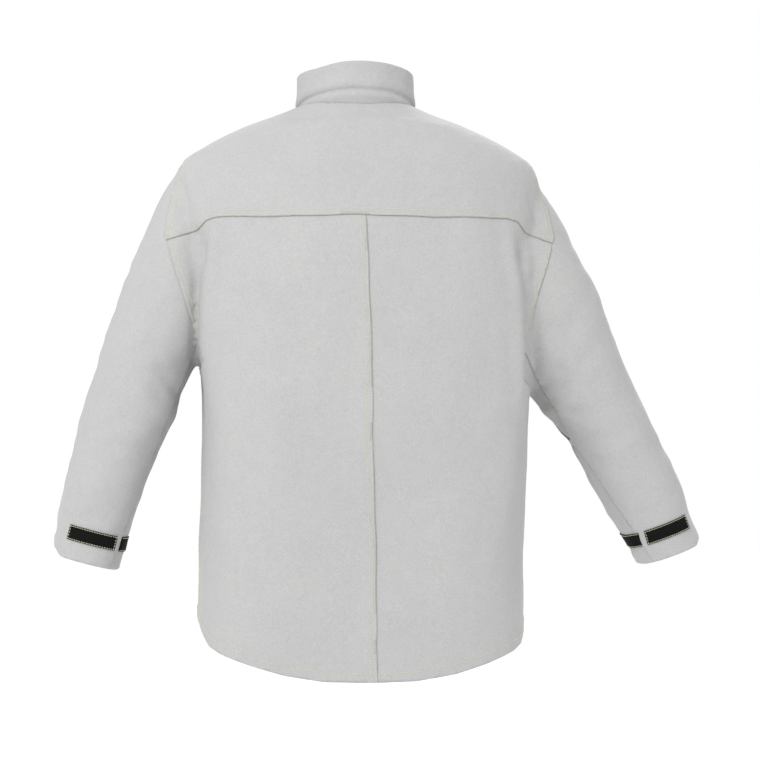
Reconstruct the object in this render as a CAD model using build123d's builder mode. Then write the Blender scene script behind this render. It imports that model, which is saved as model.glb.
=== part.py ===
from build123d import *
from math import atan2, degrees
import os

# Leather welding jacket in its worn shape. Millimetres, +Z up, the front faces -Y and the wearer's
# left is +X. The origin is the middle of the neck, level with the collar seam at the centre back.
# Every leather piece is a thin shell between two lofts, cut along its seams.

LEATHER = 1.6
TAPE = 1.3
GAP = 0.4  # between layers, and between a moving piece and its neighbour
FAR = 900  # past every side of the jacket

# Body: height, half width, back, front, corner radius, and how far the hollow's section steps
# in and down, in leather thicknesses, so that the sloping shoulders are as thick as the sides.
BODY_SECTIONS = [
    (-790, 223, 165, -165, 135, 1.0, 0.0),
    (-600, 221, 164, -163, 133, 1.0, 0.0),
    (-400, 222, 161, -160, 130, 1.0, 0.0),
    (-300, 228, 158, -154, 122, 1.0, 0.0),
    (-200, 240, 153, -146, 110, 1.0, 0.0),
    (-140, 249, 146, -138, 96, 1.0, 0.1),
    (-95, 243, 136, -125, 90, 0.9, 0.5),
    (-73, 224, 127, -110, 84, 0.7, 0.8),
    (-52, 191, 114, -92, 76, 0.5, 1.0),
    (-32, 151, 97, -72, 66, 0.5, 1.0),
    (-12, 101, 76, -50, 54, 0.5, 1.0),
    (6, 62, 54, -30, 40, 0.5, 1.0),
]

# Sleeves, from the armhole to the cuff: the outermost point (x, z) of a section, its point under
# the arm (x, z), and its half depth. The right arm is held a little further out than the left.
LEFT_SLEEVE = [
    ((237, -76), (218, -378.5), 88),
    ((262, -116), (224, -378), 92),
    ((282, -160), (229, -386), 92),
    ((301, -208), (235, -397), 90),
    ((320, -256), (241, -409), 88),
    ((345, -325), (247, -425), 83),
    ((367, -399), (256, -446), 77),
    ((394, -501), (293, -537), 68),
    ((409, -598), (320, -622), 60),
]
RIGHT_SLEEVE = [
    ((237, -76), (218, -378.5), 88),
    ((262, -118), (224, -378), 92),
    ((285, -162), (230, -387), 92),
    ((307, -210), (238, -398), 90),
    ((330, -257), (249, -411), 88),
    ((360, -332), (262, -428), 83),
    ((392, -405), (284, -459), 77),
    ((430, -491), (330, -541), 68),
    ((463, -585), (378, -621), 60),
]
SLEEVES = {"left": (1, LEFT_SLEEVE), "right": (-1, RIGHT_SLEEVE)}
SLEEVE_ROUNDING = 0.92  # corner radius over the smaller half size
UNDER_SLEEVE = 0.13  # the under sleeve's share of each section

ARMHOLE_TOP = (236, -75)
ARMHOLE_FOOT = (217, -380)
YOKE_SEAM = [(0, -158), (190, -160), (250, -186)]
SHOULDER_SEAM_Y = -45
HINGE_X = 175  # seam between front panel and side panel
HINGE_Y = -137
FRONT_GAP = 1.0  # from the middle to each front panel's edge
# Above FRONT_FLARE the fronts lie behind their hinges, so their edges part to clear each other.
FRONT_FLARE = -110
NECKLINE_HALF_GAP = 13
NECKLINE_FRONT = -36
CLEAR_ABOVE = 300  # above the collar

HEM_MIDDLE = -763
HEM_SHOULDER = (190, -736)
HEM_SIDE = (226, -690)

NECK_HALF_WIDTH = 82
NECK_HALF_DEPTH = 70
NECK_Y = -6
COLLAR_TAPER = 3
COLLAR_BACK = 54
COLLAR_SIDE = 36
COLLAR_FRONT = 8

FLAP_EDGE = -28
FLAP_SEWN = 44
FLAP_TOP = -50
FLAP_FOOT = -744
FACING_WIDTH = 46

# Snap fasteners: distances along each one's axis, out from the leather that carries the stud.
SNAP_X = -14
SNAP_TOP = -150
SNAP_PITCH = 122
SNAP_COUNT = 5
SNAP_ROOM = 3.4  # the height of stud and socket, between the closed layers
CAP_RADIUS = 7.5
CAP_HEIGHT = 1.8
BASE_RADIUS = 5.5
BASE_HEIGHT = 0.8
STUD_RADIUS = 2.0
STUD_HEIGHT = 2.8
SOCKET_BORE = 2.3
SHANK_RADIUS = 1.0
SHANK_HOLE = 1.3


def grown_section(half_width, half_depth, radius, grow):
    RectangleRounded(2 * (half_width + grow), 2 * (half_depth + grow), radius + grow)


def body_solid(grow=0.0, hollow=False):
    """The body's outer shape, moved out by grow, or its hollow."""
    with BuildPart() as body:
        for height, half_width, back, front, radius, inward, down in BODY_SECTIONS:
            step = grow - (LEATHER * inward if hollow else 0)
            drop = LEATHER * down if hollow else 0
            middle = (back + front) / 2
            plane = Plane(origin=(0, middle, height - drop))
            with BuildSketch(plane):
                grown_section(half_width, (back - front) / 2, radius, step)
        loft(ruled=True)
    return body.part


def section_plane(side, outer, under):
    """A sleeve section's plane: x points out, z points up the sleeve."""
    tilt = degrees(atan2(outer[1] - under[1], outer[0] - under[0]))
    out = Vector(side, 0, 0).rotate(Axis.Y, -side * tilt)
    up = Vector(0, 0, 1).rotate(Axis.Y, -side * tilt)
    origin = (side * (outer[0] + under[0]) / 2, 0, (outer[1] + under[1]) / 2)
    return Plane(origin=origin, x_dir=out, z_dir=up)


def sleeve_solid(side, table, grow=0.0, past=0.0):
    """A sleeve's outer shape, moved out by grow and lengthened by past at both ends."""
    last = len(table) - 1
    with BuildPart() as sleeve:
        for i, (outer, under, half_depth) in enumerate(table):
            shift = past if i == 0 else -past if i == last else 0
            half_width = (Vector(*outer) - Vector(*under)).length / 2
            radius = SLEEVE_ROUNDING * min(half_width, half_depth)
            with BuildSketch(section_plane(side, outer, under).offset(shift)):
                grown_section(half_width, half_depth, radius, grow)
        loft(ruled=True)
    return sleeve.part


def profile_block(plane, points):
    """A closed outline drawn on a plane through the origin and carried right through the jacket."""
    with BuildPart() as block:
        with BuildSketch(plane):
            with BuildLine():
                Polyline(*points, close=True)
            make_face()
        extrude(amount=FAR, both=True)
    return block.part


def region(low, high):
    """A box between two corners."""
    with BuildPart() as box:
        size = Vector(*high) - Vector(*low)
        with Locations((Vector(*high) + Vector(*low)) / 2):
            Box(size.X, size.Y, size.Z)
    return box.part


def keep(name, solid, inside=(), outside=()):
    """Cut a named piece out of a solid: keep what is inside every region and outside the others."""
    with BuildPart() as piece:
        add(solid)
        for block in inside:
            add(block, mode=Mode.INTERSECT)
        for block in outside:
            add(block, mode=Mode.SUBTRACT)
    piece.part.label = name
    return piece.part


def half_region(side, near, far, low_y, high_y):
    """A tall box on one side of the middle, between two distances from it."""
    xs = sorted((side * near, side * far))
    return region((xs[0], low_y, -FAR), (xs[1], high_y, CLEAR_ABOVE))


def neck_ring(grow):
    """A closed, slightly tapering solid over the neck's outline."""
    with BuildPart() as ring:
        for level, taper in ((-100, 0), (60, COLLAR_TAPER)):
            with BuildSketch(Plane(origin=(0, NECK_Y, level))):
                Ellipse(NECK_HALF_WIDTH + grow - taper, NECK_HALF_DEPTH + grow - taper)
        loft(ruled=True)
    return ring.part


pieces = []

# ---- body shell and its seams ----

body_outer = body_solid()
armholes = []
for side in (1, -1):
    points = [ARMHOLE_TOP, ARMHOLE_FOOT, (FAR, ARMHOLE_FOOT[1]), (FAR, 100), (ARMHOLE_TOP[0] + 11, 100)]
    armholes.append(profile_block(Plane.XZ, [(side * x, z) for x, z in points]))

with BuildPart() as below_hem:
    with BuildSketch(Plane.XZ):
        with BuildLine():
            left, right = HEM_SHOULDER, (-HEM_SHOULDER[0], HEM_SHOULDER[1])
            ThreePointArc(left, (0, HEM_MIDDLE), right)
            side_left, side_right = HEM_SIDE, (-HEM_SIDE[0], HEM_SIDE[1])
            Polyline(right, side_right, (-FAR, HEM_SIDE[1]), (-FAR, -FAR), (FAR, -FAR),
                     (FAR, HEM_SIDE[1]), side_left, left)
        make_face()
    extrude(amount=FAR, both=True)

neck_hole = neck_ring(GAP)
body_cuts = [neck_hole, below_hem.part, *armholes]
shell = keep("shell", body_outer, outside=[body_solid(hollow=True), *body_cuts])

yoke_edge = YOKE_SEAM + [(FAR, YOKE_SEAM[-1][1])]
yoke_mirrored = [(-x, z) for x, z in reversed(yoke_edge[1:])]
above_yoke = yoke_edge + [(FAR, CLEAR_ABOVE), (-FAR, CLEAR_ABOVE)] + yoke_mirrored
yoke_region = keep("yoke_region", profile_block(Plane.XZ, above_yoke),
                   inside=[region((-FAR, SHOULDER_SEAM_Y, -FAR), (FAR, FAR, CLEAR_ABOVE))])
pieces.append(keep("back_yoke", shell, inside=[yoke_region]))
below_yoke = keep("below_yoke", shell, outside=[yoke_region])

flare = [(FRONT_GAP, FRONT_FLARE), (NECKLINE_HALF_GAP, NECKLINE_FRONT), (NECKLINE_HALF_GAP, CLEAR_ABOVE)]
front_flare = profile_block(Plane.XZ, flare + [(-x, z) for x, z in reversed(flare)])
for name, side in (("left", 1), ("right", -1)):
    back_half = half_region(side, 0, FAR, 0, FAR)
    side_half = half_region(side, HINGE_X, FAR, -FAR, 0)
    front_half = half_region(side, FRONT_GAP, HINGE_X - GAP, -FAR, SHOULDER_SEAM_Y - GAP)
    pieces.append(keep(f"back_{name}_panel", below_yoke, inside=[back_half]))
    pieces.append(keep(f"{name}_side_panel", below_yoke, inside=[side_half]))
    pieces.append(keep(f"{name}_front_panel", below_yoke, inside=[front_half], outside=[front_flare]))

# ---- sleeves and cuffs ----

TAPE_BAND = (22, 40)  # height of the loop tape above the cuff's end
TAB_BAND = (17, 45)
CUFF_FACING = 52
CUFF_SECTIONS = 3  # how many sections from the end the cuff's own layers span
CUT_PAST = 3  # how far a cutting solid runs past the ends of what it cuts
SEAM_PAST = 90


def cuff_layer(name, side, table, low, high, band, across, front):
    """A strip on or under the cuff, between two offsets, two heights and two places across it.

    across runs from the under arm (-1) to the outside (1); front is its range of Y.
    """
    outer, under, half_depth = table[-1]
    half_width = (Vector(*outer) - Vector(*under)).length / 2
    end = section_plane(side, outer, under)
    middle_x = (across[0] + across[1]) / 2 * half_width
    middle_y = (front[0] + front[1]) / 2 * (1 if side > 0 else -1)
    near_end = table[-CUFF_SECTIONS:]
    with BuildPart() as window:
        with BuildSketch(end.offset(band[0])):
            with Locations((middle_x, middle_y)):
                Rectangle((across[1] - across[0]) * half_width, front[1] - front[0])
        extrude(amount=band[1] - band[0])
    return keep(name, sleeve_solid(side, near_end, high, past=-1), inside=[window.part],
                outside=[sleeve_solid(side, near_end, low, past=CUT_PAST)])


for name, (side, table) in SLEEVES.items():
    lining = sleeve_solid(side, table, -LEATHER, past=CUT_PAST)
    tube = keep("tube", sleeve_solid(side, table, past=-GAP), outside=[lining])
    seam = []
    for outer, under, _ in (table[0], table[-1]):
        on_seam = Vector(*under) + (Vector(*outer) - Vector(*under)) * UNDER_SLEEVE
        seam.append(on_seam)
    along = (seam[1] - seam[0]).normalized()
    start, stop = seam[0] - along * SEAM_PAST, seam[1] + along * SEAM_PAST
    corners = [(start.X, start.Y), (stop.X, stop.Y), (0, stop.Y), (0, start.Y)]
    under_arm = profile_block(Plane.XZ, [(side * x, z) for x, z in corners])
    pieces.append(keep(f"{name}_upper_sleeve", tube, outside=[under_arm]))
    pieces.append(keep(f"{name}_under_sleeve", tube, inside=[under_arm]))

    below = (-LEATHER - GAP - LEATHER, -LEATHER - GAP)
    above = (0.1, 0.1 + TAPE)
    over = (above[1] + 0.1, above[1] + 0.1 + LEATHER)
    for layer, offsets, band, across, front in (
        ("facing", below, (1, CUFF_FACING), (-2, 2), (-200, 200)),
        ("loop_long", above, TAPE_BAND, (-0.62, 0.6), (4, 200)),
        ("loop_short", above, TAPE_BAND, (-1.3, -0.78), (-18, 200)),
        ("hook", above, TAPE_BAND, (0.0, 0.7), (-200, -10)),
        ("tab", over, TAB_BAND, (-0.62, 0.76), (-200, -10)),
    ):
        pieces.append(cuff_layer(f"{name}_cuff_{layer}", side, table, *offsets, band, across, front))

# ---- collar ----

COLLAR_SLIT = 1.5
TAB_SEWN_X = 30
TAB_TIP_X = -34
TAB_FOOT = -24
TAB_TOP = 2

above_collar = [(-FAR, COLLAR_FRONT), (NECK_Y - NECK_HALF_DEPTH, COLLAR_FRONT), (NECK_Y, COLLAR_SIDE),
                (NECK_Y + NECK_HALF_DEPTH, COLLAR_BACK), (FAR, COLLAR_BACK), (FAR, CLEAR_ABOVE),
                (-FAR, CLEAR_ABOVE)]
collar_cuts = [profile_block(Plane.YZ, above_collar), body_solid(GAP),
               region((-COLLAR_SLIT, -FAR, -FAR), (COLLAR_SLIT, NECK_Y, FAR))]
pieces.append(keep("collar_outer", neck_ring(0), outside=[neck_ring(-LEATHER), *collar_cuts]))
pieces.append(keep("collar_inner", neck_ring(-LEATHER - 0.1),
                   outside=[neck_ring(-2 * LEATHER - 0.1), *collar_cuts]))
tab_window = region((TAB_TIP_X, -FAR, TAB_FOOT), (TAB_SEWN_X, NECK_Y, TAB_TOP))
pieces.append(keep("throat_tab", neck_ring(SNAP_ROOM + LEATHER), inside=[tab_window],
                   outside=[neck_ring(SNAP_ROOM)]))

# ---- storm flap, facings and hanger loop ----

flap_window = region((FLAP_EDGE, -FAR, FLAP_FOOT), (FLAP_SEWN, 0, FLAP_TOP))
pieces.append(keep("storm_flap", body_solid(SNAP_ROOM + LEATHER), inside=[flap_window],
                   outside=[body_solid(SNAP_ROOM), neck_hole]))
for name, side in (("left", 1), ("right", -1)):
    xs = sorted((side * (FRONT_GAP + 1), side * FACING_WIDTH))
    window = region((xs[0], -FAR, FLAP_FOOT), (xs[1], 0, FLAP_TOP))
    pieces.append(keep(f"{name}_front_facing", body_solid(-GAP, hollow=True), inside=[window],
                       outside=[body_solid(-GAP - LEATHER, hollow=True), neck_hole, front_flare]))

LOOP_HALF_WIDTH = 27
LOOP_DROP = 26
LOOP_STRAP = 8
LOOP_Y = 54.2
with BuildPart() as hanger_loop:
    with BuildSketch(Plane(origin=(0, LOOP_Y, 0), x_dir=(1, 0, 0), z_dir=(0, -1, 0))):
        with Locations((0, -LOOP_DROP / 2 + 4)):
            RectangleRounded(2 * LOOP_HALF_WIDTH, LOOP_DROP + 16, 10)
            RectangleRounded(2 * (LOOP_HALF_WIDTH - LOOP_STRAP), LOOP_DROP, 6, mode=Mode.SUBTRACT)
    extrude(amount=LEATHER)
hanger_loop.part.label = "hanger_loop"
pieces.append(hanger_loop.part)

# ---- snap fasteners ----

def front_plane(x, height):
    """A plane on the front's outer face, looking out."""
    rows = [(section[0], section[3]) for section in BODY_SECTIONS]
    for (low, low_y), (high, high_y) in zip(rows, rows[1:]):
        if low <= height <= high:
            y = low_y + (high_y - low_y) * (height - low) / (high - low)
            upward = Vector(0, high_y - low_y, high - low).normalized()
            return Plane(origin=(x, y, height), x_dir=(1, 0, 0), z_dir=Vector(1, 0, 0).cross(upward))


def collar_plane(x, height):
    """A plane on the collar's outer face, looking out."""
    taper = COLLAR_TAPER * (height + 100) / 160
    half_width, half_depth = NECK_HALF_WIDTH - taper, NECK_HALF_DEPTH - taper
    y = -half_depth * (1 - (x / half_width) ** 2) ** 0.5
    out = Vector(x / half_width**2, y / half_depth**2, 0)
    return Plane(origin=(x, NECK_Y + y, height), x_dir=(0, 0, 1), z_dir=out)


def turned(name, planes, discs, bore=0.0):
    """One round piece on each plane: discs are (radius, from, to) along its axis."""
    with BuildPart() as group:
        for plane in planes:
            for radius, low, high in discs:
                with BuildSketch(plane.offset(low)):
                    Circle(radius)
                extrude(amount=high - low)
            if bore:
                with BuildSketch(plane.offset(discs[0][1] - 1)):
                    Circle(bore)
                extrude(amount=FAR / 100, mode=Mode.SUBTRACT)
    group.part.label = name
    return group.part


def snap_set(planes, names, depth, seat):
    """Cap and socket on the outer layer, stud and post on the inner one, which is depth thick.

    seat is how far each stands off its leather, which is more where the leather is curved.
    """
    cap, socket, stud, post = names
    top = SNAP_ROOM + LEATHER + seat
    crown = top + CAP_HEIGHT
    pieces.append(turned(cap, planes, [(CAP_RADIUS, top, crown), (CAP_RADIUS - 2, crown, crown + 0.7),
                                       (SHANK_RADIUS, SNAP_ROOM, top)]))
    socket_disc = (BASE_RADIUS, BASE_HEIGHT + seat + 0.2, SNAP_ROOM - seat)
    pieces.append(turned(socket, planes, [socket_disc], SOCKET_BORE))
    pieces.append(turned(stud, planes, [(BASE_RADIUS, seat, seat + BASE_HEIGHT),
                                        (STUD_RADIUS, BASE_HEIGHT, STUD_HEIGHT)]))
    pieces.append(turned(post, planes, [(BASE_RADIUS, -depth - seat - BASE_HEIGHT, -depth - seat),
                                        (SHANK_RADIUS, -depth - seat, 0)]))


def pierce(name, planes):
    """Punch the shanks' holes through a leather piece."""
    for i, piece in enumerate(pieces):
        if piece.label == name:
            holes = turned("holes", planes, [(SHANK_HOLE, -9, 9)])
            pieces[i] = keep(name, piece, outside=[holes])


front_snaps = [front_plane(SNAP_X, SNAP_TOP - SNAP_PITCH * i) for i in range(SNAP_COUNT)]
throat_snap = [collar_plane(TAB_TIP_X + 12, (TAB_FOOT + TAB_TOP) / 2)]
for pierced in ("storm_flap", "right_front_panel", "right_front_facing"):
    pierce(pierced, front_snaps)
for pierced in ("throat_tab", "collar_outer", "collar_inner"):
    pierce(pierced, throat_snap)
front_names = ("snap_caps", "snap_sockets", "snap_studs", "snap_posts")
snap_set(front_snaps, front_names, 2 * LEATHER + GAP, 0.05)
snap_set(throat_snap, ("throat_cap", "throat_socket", "throat_stud", "throat_post"), 2 * LEATHER + 0.1, 0.35)

if __name__ == "__main__":
    os.makedirs("parts", exist_ok=True)
    for piece in pieces:
        box = piece.bounding_box()
        print(piece.label, len(piece.solids()), round(piece.volume), piece.is_valid, box.min, box.max, flush=True)
        export_step(piece, f"parts/{piece.label}.step")
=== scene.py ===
"""Leather welding jacket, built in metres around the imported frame.

Tables are in millimetres, as in part.py.
"""
import math

import bpy
import numpy as np
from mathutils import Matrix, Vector
from mathutils.bvhtree import BVHTree

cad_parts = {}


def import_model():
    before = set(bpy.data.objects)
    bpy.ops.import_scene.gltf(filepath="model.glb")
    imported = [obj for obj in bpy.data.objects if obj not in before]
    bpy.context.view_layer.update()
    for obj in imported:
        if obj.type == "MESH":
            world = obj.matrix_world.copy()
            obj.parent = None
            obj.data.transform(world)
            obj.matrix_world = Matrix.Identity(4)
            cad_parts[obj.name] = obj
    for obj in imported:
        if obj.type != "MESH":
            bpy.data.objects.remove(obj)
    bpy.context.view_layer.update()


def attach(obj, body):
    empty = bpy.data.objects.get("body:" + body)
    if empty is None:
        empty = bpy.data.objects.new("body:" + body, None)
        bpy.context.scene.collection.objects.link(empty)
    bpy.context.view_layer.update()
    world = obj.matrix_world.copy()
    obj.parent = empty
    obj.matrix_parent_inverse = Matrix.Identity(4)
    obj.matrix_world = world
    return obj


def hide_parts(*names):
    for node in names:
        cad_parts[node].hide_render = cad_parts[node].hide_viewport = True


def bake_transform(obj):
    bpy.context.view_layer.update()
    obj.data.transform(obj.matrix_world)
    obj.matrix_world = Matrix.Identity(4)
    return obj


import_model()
scene = bpy.context.scene
MM = 0.001

# ---------------------------------------------------------------- camera
CAMERA_DISTANCE = 3.2
CAMERA_TURN = math.radians(5.5)
AIM = Vector((-0.033, 0, -0.372))
camera_data = bpy.data.cameras.new("camera")
camera_data.sensor_width = 36
camera_data.angle = math.radians(18.35)
camera = bpy.data.objects.new("camera", camera_data)
scene.collection.objects.link(camera)
offset = Vector((math.sin(CAMERA_TURN), math.cos(CAMERA_TURN), 0)) * CAMERA_DISTANCE
camera.location = AIM + offset
camera.rotation_euler = offset.to_track_quat("Z", "Y").to_euler()
scene.camera = camera

# ---------------------------------------------------------------- tables
# height, half width, back, front, squareness
BODY = [
    (-790, 219, 165, -165, 3.6), (-600, 217, 164, -163, 3.6), (-400, 218, 161, -160, 3.8),
    (-300, 226, 158, -154, 3.8), (-200, 240, 153, -146, 3.0), (-140, 249, 146, -138, 2.7),
    (-95, 243, 136, -125, 2.5), (-73, 224, 127, -110, 2.4), (-52, 191, 114, -92, 2.3),
    (-32, 151, 97, -72, 2.2), (-12, 101, 76, -50, 2.1), (6, 62, 54, -30, 2.0),
]
# outermost point (x, z), point under the arm (x, z), half depth
SLEEVES = {
    "left": (1, [
        (234, -83, 205, -338, 88), (258, -116, 212, -346, 92), (279, -160, 221, -361, 92),
        (298, -208, 230, -380, 90), (317, -256, 238, -402, 88), (342, -325, 245, -424, 83),
        (364, -399, 256, -446, 77), (391, -501, 293, -537, 68), (408, -598, 320, -622, 60)]),
    "right": (-1, [
        (228, -86, 218, -378.5, 88), (255, -118, 224, -378, 92), (283, -162, 230, -387, 92),
        (307, -210, 239, -396, 90), (330, -257, 252, -408, 88), (360, -332, 268, -425, 83),
        (393, -405, 293, -455, 77), (434, -491, 338, -537, 68), (472, -588, 388, -619, 60)]),
}
SLEEVE_SQUARENESS = 2.3
UNDER_SLEEVE = 0.13
# height and distance from the middle, down to the line between a sleeve and the body's side
ARMHOLE_UPPER = [(-270, 232), (-220, 248), (-180, 259), (-130, 250), (-93, 238), (-80, 232), (100, 232)]
ARMHOLES = {
    1: [(-700, 282), (-500, 245), (-420, 229), (-385, 218), (-365, 213), (-345, 207),
        (-325, 214)] + ARMHOLE_UPPER,
    -1: [(-700, 296), (-500, 262), (-420, 244), (-396, 236), (-382, 226), (-372, 210),
         (-330, 213)] + ARMHOLE_UPPER,
}
# height, and how far the body's middle and the centre seam lean to the wearer's right there
BODY_LEAN = [(-790, -5), (-600, -6), (-400, -11), (-250, -7), (-150, 0)]
SEAM_LEAN = [(-790, -15), (-400, -8), (-158, -2)]
YOKE = [(0, -158), (190, -160), (205, -164), (216, -176), (230, -181), (262, -190), (400, -230)]
SHOULDER_Y = -45
HINGE_X = 175
NECK_X, NECK_Y, NECK_MIDDLE = 82, 70, -6
COLLAR_TOP = [(-76, 8), (-6, 36), (64, 54)]
HEM = [(0, -763), (60, -761), (110, -753), (150, -742), (175, -734), (192, -728), (206, -720), (214, -706),
       (220, -690), (240, -650)]
HEM_LEAN = -5
FLAP_LOW, FLAP_HIGH, FLAP_NECK = -744, -50, -38
SNAP_X, SNAP_TOP, SNAP_PITCH, SNAPS = -14, -150, 122, 5
LEATHER = 1.3
LAP = 9
STITCH_ROWS = (2.0, 8.5)
VOXEL = 5


def smoothstep(t):
    t = np.clip(t, 0, 1)
    return t * t * (3 - 2 * t)


def curve(rows, steps=6):
    """A Catmull-Rom curve through the rows of a table."""
    p = np.array(rows, float)
    p = np.vstack([2 * p[0] - p[1], p, 2 * p[-1] - p[-2]])
    out = []
    for i in range(1, len(p) - 2):
        a, b, c, d = p[i - 1:i + 3]
        for t in np.arange(steps) / steps:
            out.append(0.5 * (2 * b + (c - a) * t + (2 * a - 5 * b + 4 * c - d) * t * t
                              + (3 * b - a - 3 * c + d) * t ** 3))
    out.append(p[-2])
    return np.array(out)


def oval(a, b, power, count=96):
    """Points round an oval of half sizes a and b, squarer as power grows."""
    angle = np.arange(count) / count * 2 * math.pi
    c, s = np.cos(angle), np.sin(angle)
    r = (np.abs(c) ** power + np.abs(s) ** power) ** (-1 / power)
    return a * c * r, b * s * r


def tube_mesh(rings):
    """A closed mesh over a stack of rings."""
    n = len(rings[0])
    points = np.vstack(rings)
    faces = []
    for i in range(len(rings) - 1):
        for j in range(n):
            k = (j + 1) % n
            faces.append((i * n + j, i * n + k, (i + 1) * n + k, (i + 1) * n + j))
    faces.append(tuple(range(n))[::-1])
    faces.append(tuple(range((len(rings) - 1) * n, len(rings) * n)))
    return points, faces


def body_rings():
    rings = []
    for z, width, back, front, power in curve(BODY):
        x, y = oval(width, 1, power)
        middle = (back + front) / 2
        depth = (back - front) / 2
        lean = np.interp(z, *zip(*BODY_LEAN))
        rings.append(np.stack([lean + x, middle + depth * y, np.full(len(x), z)], 1))
    return rings


def sleeve_ring(side, row, shift=0.0, scale=1.0):
    ox, oz, ux, uz, depth = row
    across = np.array([ox - ux, oz - uz])
    width = np.linalg.norm(across) / 2
    across = across / (2 * width)
    up = np.array([-across[1], across[0]])
    middle = np.array([(ox + ux) / 2, (oz + uz) / 2]) + up * shift
    a, y = oval(width * scale, depth * scale, SLEEVE_SQUARENESS)
    flat = middle + a[:, None] * across
    return np.stack([side * flat[:, 0], y, flat[:, 1]], 1)[::side]


def sleeve_rings(side, table):
    rows = curve(table)
    rings = [sleeve_ring(side, rows[0], 45, 0.8)]
    rings += [sleeve_ring(side, row) for row in rows]
    rings.append(sleeve_ring(side, rows[-1], -45))
    return rings


def base_surface():
    """One closed surface over body and sleeves, as points and triangles."""
    points, faces = [], []
    solids = [body_rings()] + [sleeve_rings(side, table) for side, table in SLEEVES.values()]
    for rings in solids:
        p, f = tube_mesh(rings)
        start = sum(len(q) for q in points)
        points.append(p)
        faces += [tuple(start + i for i in face) for face in f]
    mesh = bpy.data.meshes.new("union")
    mesh.from_pydata((np.vstack(points) * MM).tolist(), [], faces)
    union = bpy.data.objects.new("union", mesh)
    scene.collection.objects.link(union)
    bpy.context.view_layer.objects.active = union
    union.select_set(True)
    bpy.ops.object.mode_set(mode="EDIT")
    bpy.ops.mesh.select_all(action="SELECT")
    bpy.ops.mesh.normals_make_consistent(inside=False)
    bpy.ops.object.mode_set(mode="OBJECT")
    remesh = union.modifiers.new("remesh", "REMESH")
    remesh.mode = "VOXEL"
    remesh.voxel_size = VOXEL * MM
    bpy.context.view_layer.update()
    done = union.evaluated_get(bpy.context.evaluated_depsgraph_get()).to_mesh()
    done.calc_loop_triangles()
    p = np.empty(len(done.vertices) * 3)
    done.vertices.foreach_get("co", p)
    t = np.empty(len(done.loop_triangles) * 3, int)
    done.loop_triangles.foreach_get("vertices", t)
    bpy.data.objects.remove(union)
    return p.reshape(-1, 3) / MM, t.reshape(-1, 3)


def edges_of(t):
    e = np.sort(np.concatenate([t[:, [0, 1]], t[:, [1, 2]], t[:, [2, 0]]]), axis=1)
    return np.unique(e, axis=0, return_counts=True)


def relax(p, t, times):
    """Even the points out without shrinking much: one step in, a slightly longer one out."""
    e, _ = edges_of(t)
    count = np.bincount(e.ravel(), minlength=len(p))[:, None]
    for step in [0.5, -0.52] * times:
        total = np.zeros_like(p)
        for axis in range(3):
            total[:, axis] = (np.bincount(e[:, 0], p[e[:, 1], axis], len(p))
                              + np.bincount(e[:, 1], p[e[:, 0], axis], len(p)))
        p = p + step * (total / count - p)
    return p


def normals_of(p, t):
    face = np.cross(p[t[:, 1]] - p[t[:, 0]], p[t[:, 2]] - p[t[:, 0]])
    n = np.zeros_like(p)
    for corner in range(3):
        for axis in range(3):
            n[:, axis] += np.bincount(t[:, corner], face[:, axis], len(p))
    return n / np.maximum(np.linalg.norm(n, axis=1, keepdims=True), 1e-12)


# ---------------------------------------------------------------- seam fields, in mm
def armhole(p):
    left, right = (np.interp(p[:, 2], *zip(*ARMHOLES[side])) for side in (1, -1))
    return np.abs(p[:, 0]) - np.where(p[:, 0] > 0, left, right)


def yoke(p):
    uneven = 0.8 * np.sin(p[:, 0] / 31 + 1) + 0.4 * np.sin(p[:, 0] / 12)
    return p[:, 2] - np.interp(np.abs(p[:, 0]), *zip(*YOKE)) - uneven


def shoulder(p):
    return p[:, 1] - SHOULDER_Y


def side_edge(p):
    """How far a point is behind the side panel's back edge."""
    return np.where(p[:, 2] > -172, p[:, 1] - SHOULDER_Y, p[:, 1])


def hinge(p):
    return np.abs(p[:, 0]) - HINGE_X


def hem(p):
    return p[:, 2] - np.interp(np.abs(p[:, 0] - HEM_LEAN), *zip(*HEM))


def neck(p):
    out = np.sqrt((p[:, 0] / NECK_X) ** 2 + ((p[:, 1] - NECK_MIDDLE) / NECK_Y) ** 2)
    return np.where(p[:, 2] > -60, (out - 1) * 75, 400.0)


def centre_seam(p):
    uneven = 0.8 * np.sin(p[:, 2] / 41) + 0.4 * np.sin(p[:, 2] / 15)
    return p[:, 0] - np.interp(p[:, 2], *zip(*SEAM_LEAN)) - uneven


def front_gap(p):
    return np.abs(p[:, 0]) - np.interp(p[:, 2], (-110, -36), (1, 13))


def cuff_frame(side, p):
    """How far across the cuff, from -1 under the arm to 1 outside, and how far up it, a point is."""
    ox, oz, ux, uz, _ = SLEEVES[side][1][-1]
    across = np.array([ox - ux, oz - uz])
    width = np.linalg.norm(across) / 2
    across = across / (2 * width)
    flat = np.stack([SLEEVES[side][0] * p[:, 0], p[:, 2]], 1) - [(ox + ux) / 2, (oz + uz) / 2]
    return flat @ across / width, flat @ [-across[1], across[0]]


def cuff(side):
    def field(p):
        across, up = cuff_frame(side, p)
        return up + 4 * smoothstep((p[:, 1] + 22) / 60) - 10 * smoothstep((across - 0.62) / 0.4)
    return field


def sleeve_seam(side):
    """Distance outside the sleeve's long seam."""
    def field(p):
        table = SLEEVES[side][1]
        a, b = (np.array([r[2] + (r[0] - r[2]) * UNDER_SLEEVE, r[3] + (r[1] - r[3]) * UNDER_SLEEVE])
                for r in (table[0], table[-1]))
        along = (b - a) / np.linalg.norm(b - a)
        flat = np.stack([SLEEVES[side][0] * p[:, 0], p[:, 2]], 1) - a
        return flat[:, 1] * along[0] - flat[:, 0] * along[1]
    return field


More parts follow.
